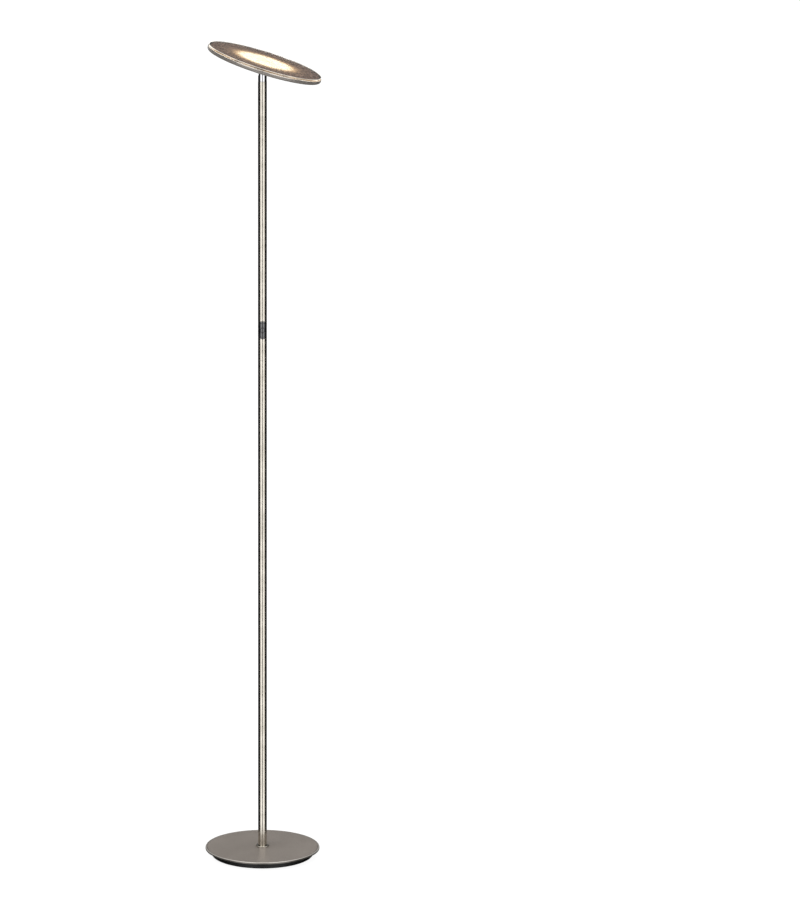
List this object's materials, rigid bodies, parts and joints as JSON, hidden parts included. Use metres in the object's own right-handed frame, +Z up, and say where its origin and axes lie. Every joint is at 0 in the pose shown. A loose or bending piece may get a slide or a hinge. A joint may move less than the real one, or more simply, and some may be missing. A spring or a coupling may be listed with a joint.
{
  "type": "torchiere floor lamp",
  "caption": "Tall slim floor lamp: weighted round base, satin nickel pole with a push-button dimmer panel, and a shallow round light head under a clear plate, tilting on a hinge.",
  "frame": {"origin": "on the floor under the pole's axis, at the centre of the foot pad", "axes": "+Z up along the pole, +X the side the head tilts down to, -Y the side the buttons face"},
  "size_m": [0.2528, 0.2546, 1.8136],
  "materials": {
    "foam_pad": "matt closed-cell foam",
    "black_tray": "moulded black plastic",
    "cast_weight": "raw casting",
    "base_paint": "satin metallic taupe with a bright rim",
    "black_rubber": "matt",
    "satin_nickel": "satin warm nickel",
    "zinc_steel": "zinc plated",
    "brass": "turned",
    "lead_jacket": "matt jacket",
    "gloss_black": "polished black",
    "circuit_board": "solder resist",
    "switch_plastic": "moulded",
    "polished_neck": "polished chrome",
    "head_paint": "sandy metallic taupe",
    "spreader_metal": "mill finish",
    "led_board": "white resist on a metal core",
    "white_frame": "moulded white plastic",
    "brown_film": "tinted diffusing film, lit from below",
    "clear_acrylic": "clear polished acrylic"
  },
  "bodies": {
    "stand": {"foot_pad": "foam_pad", "base_tray": "black_tray", "base_weight": "cast_weight", "base_cover": "base_paint", "cord_gland": "black_rubber", "pole_collar": "satin_nickel", "lower_pole": "satin_nickel", "middle_pole": "satin_nickel", "upper_pole": "satin_nickel", "tray_screw_1": "zinc_steel", "tray_screw_2": "zinc_steel", "tray_screw_3": "zinc_steel", "tray_screw_4": "zinc_steel", "base_stud": "zinc_steel", "base_washer": "zinc_steel", "lock_washer": "zinc_steel", "base_nut": "zinc_steel", "lower_coupler": "zinc_steel", "upper_coupler": "zinc_steel", "pivot_screw": "zinc_steel", "pivot_nut": "zinc_steel", "foot_plug": "brass", "friction_washer_front": "brass", "friction_washer_back": "brass", "pole_lead": "lead_jacket", "upper_lead": "lead_jacket", "control_housing": "gloss_black", "control_board": "circuit_board", "dim_up_switch": "switch_plastic", "power_switch": "switch_plastic", "dim_down_switch": "switch_plastic", "neck": "polished_neck"},
    "head": {"hinge_bracket": "zinc_steel", "head_casing": "head_paint", "bracket_screw_front": "zinc_steel", "bracket_screw_back": "zinc_steel", "heat_spreader": "spreader_metal", "led_board": "led_board", "spreader_screw_1": "zinc_steel", "spreader_screw_2": "zinc_steel", "spreader_screw_3": "zinc_steel", "board_screw_1": "zinc_steel", "board_screw_2": "zinc_steel", "board_screw_3": "zinc_steel", "plate_frame": "white_frame", "diffuser_film": "brown_film", "plate_gasket": "black_rubber", "clear_plate": "clear_acrylic", "head_lead": "lead_jacket"},
    "dim_up": {"dim_up_button": "gloss_black"},
    "power": {"power_button": "gloss_black"},
    "dim_down": {"dim_down_button": "gloss_black"}
  },
  "joints": [
    {"name": "head_tilt", "type": "hinge", "parent": "stand", "child": "head", "pos_m": [0, 0, 1.7556], "axis": [0, 1, 0], "range_deg": [-82, 48]},
    {"name": "dim_up_press", "type": "slide", "parent": "stand", "child": "dim_up", "axis": [0, 1, 0], "range_m": [0, 0.0008], "stiffness_N_per_m": 600},
    {"name": "power_press", "type": "slide", "parent": "stand", "child": "power", "axis": [0, 1, 0], "range_m": [0, 0.0008], "stiffness_N_per_m": 600},
    {"name": "dim_down_press", "type": "slide", "parent": "stand", "child": "dim_down", "axis": [0, 1, 0], "range_m": [0, 0.0008], "stiffness_N_per_m": 600}
  ]
}
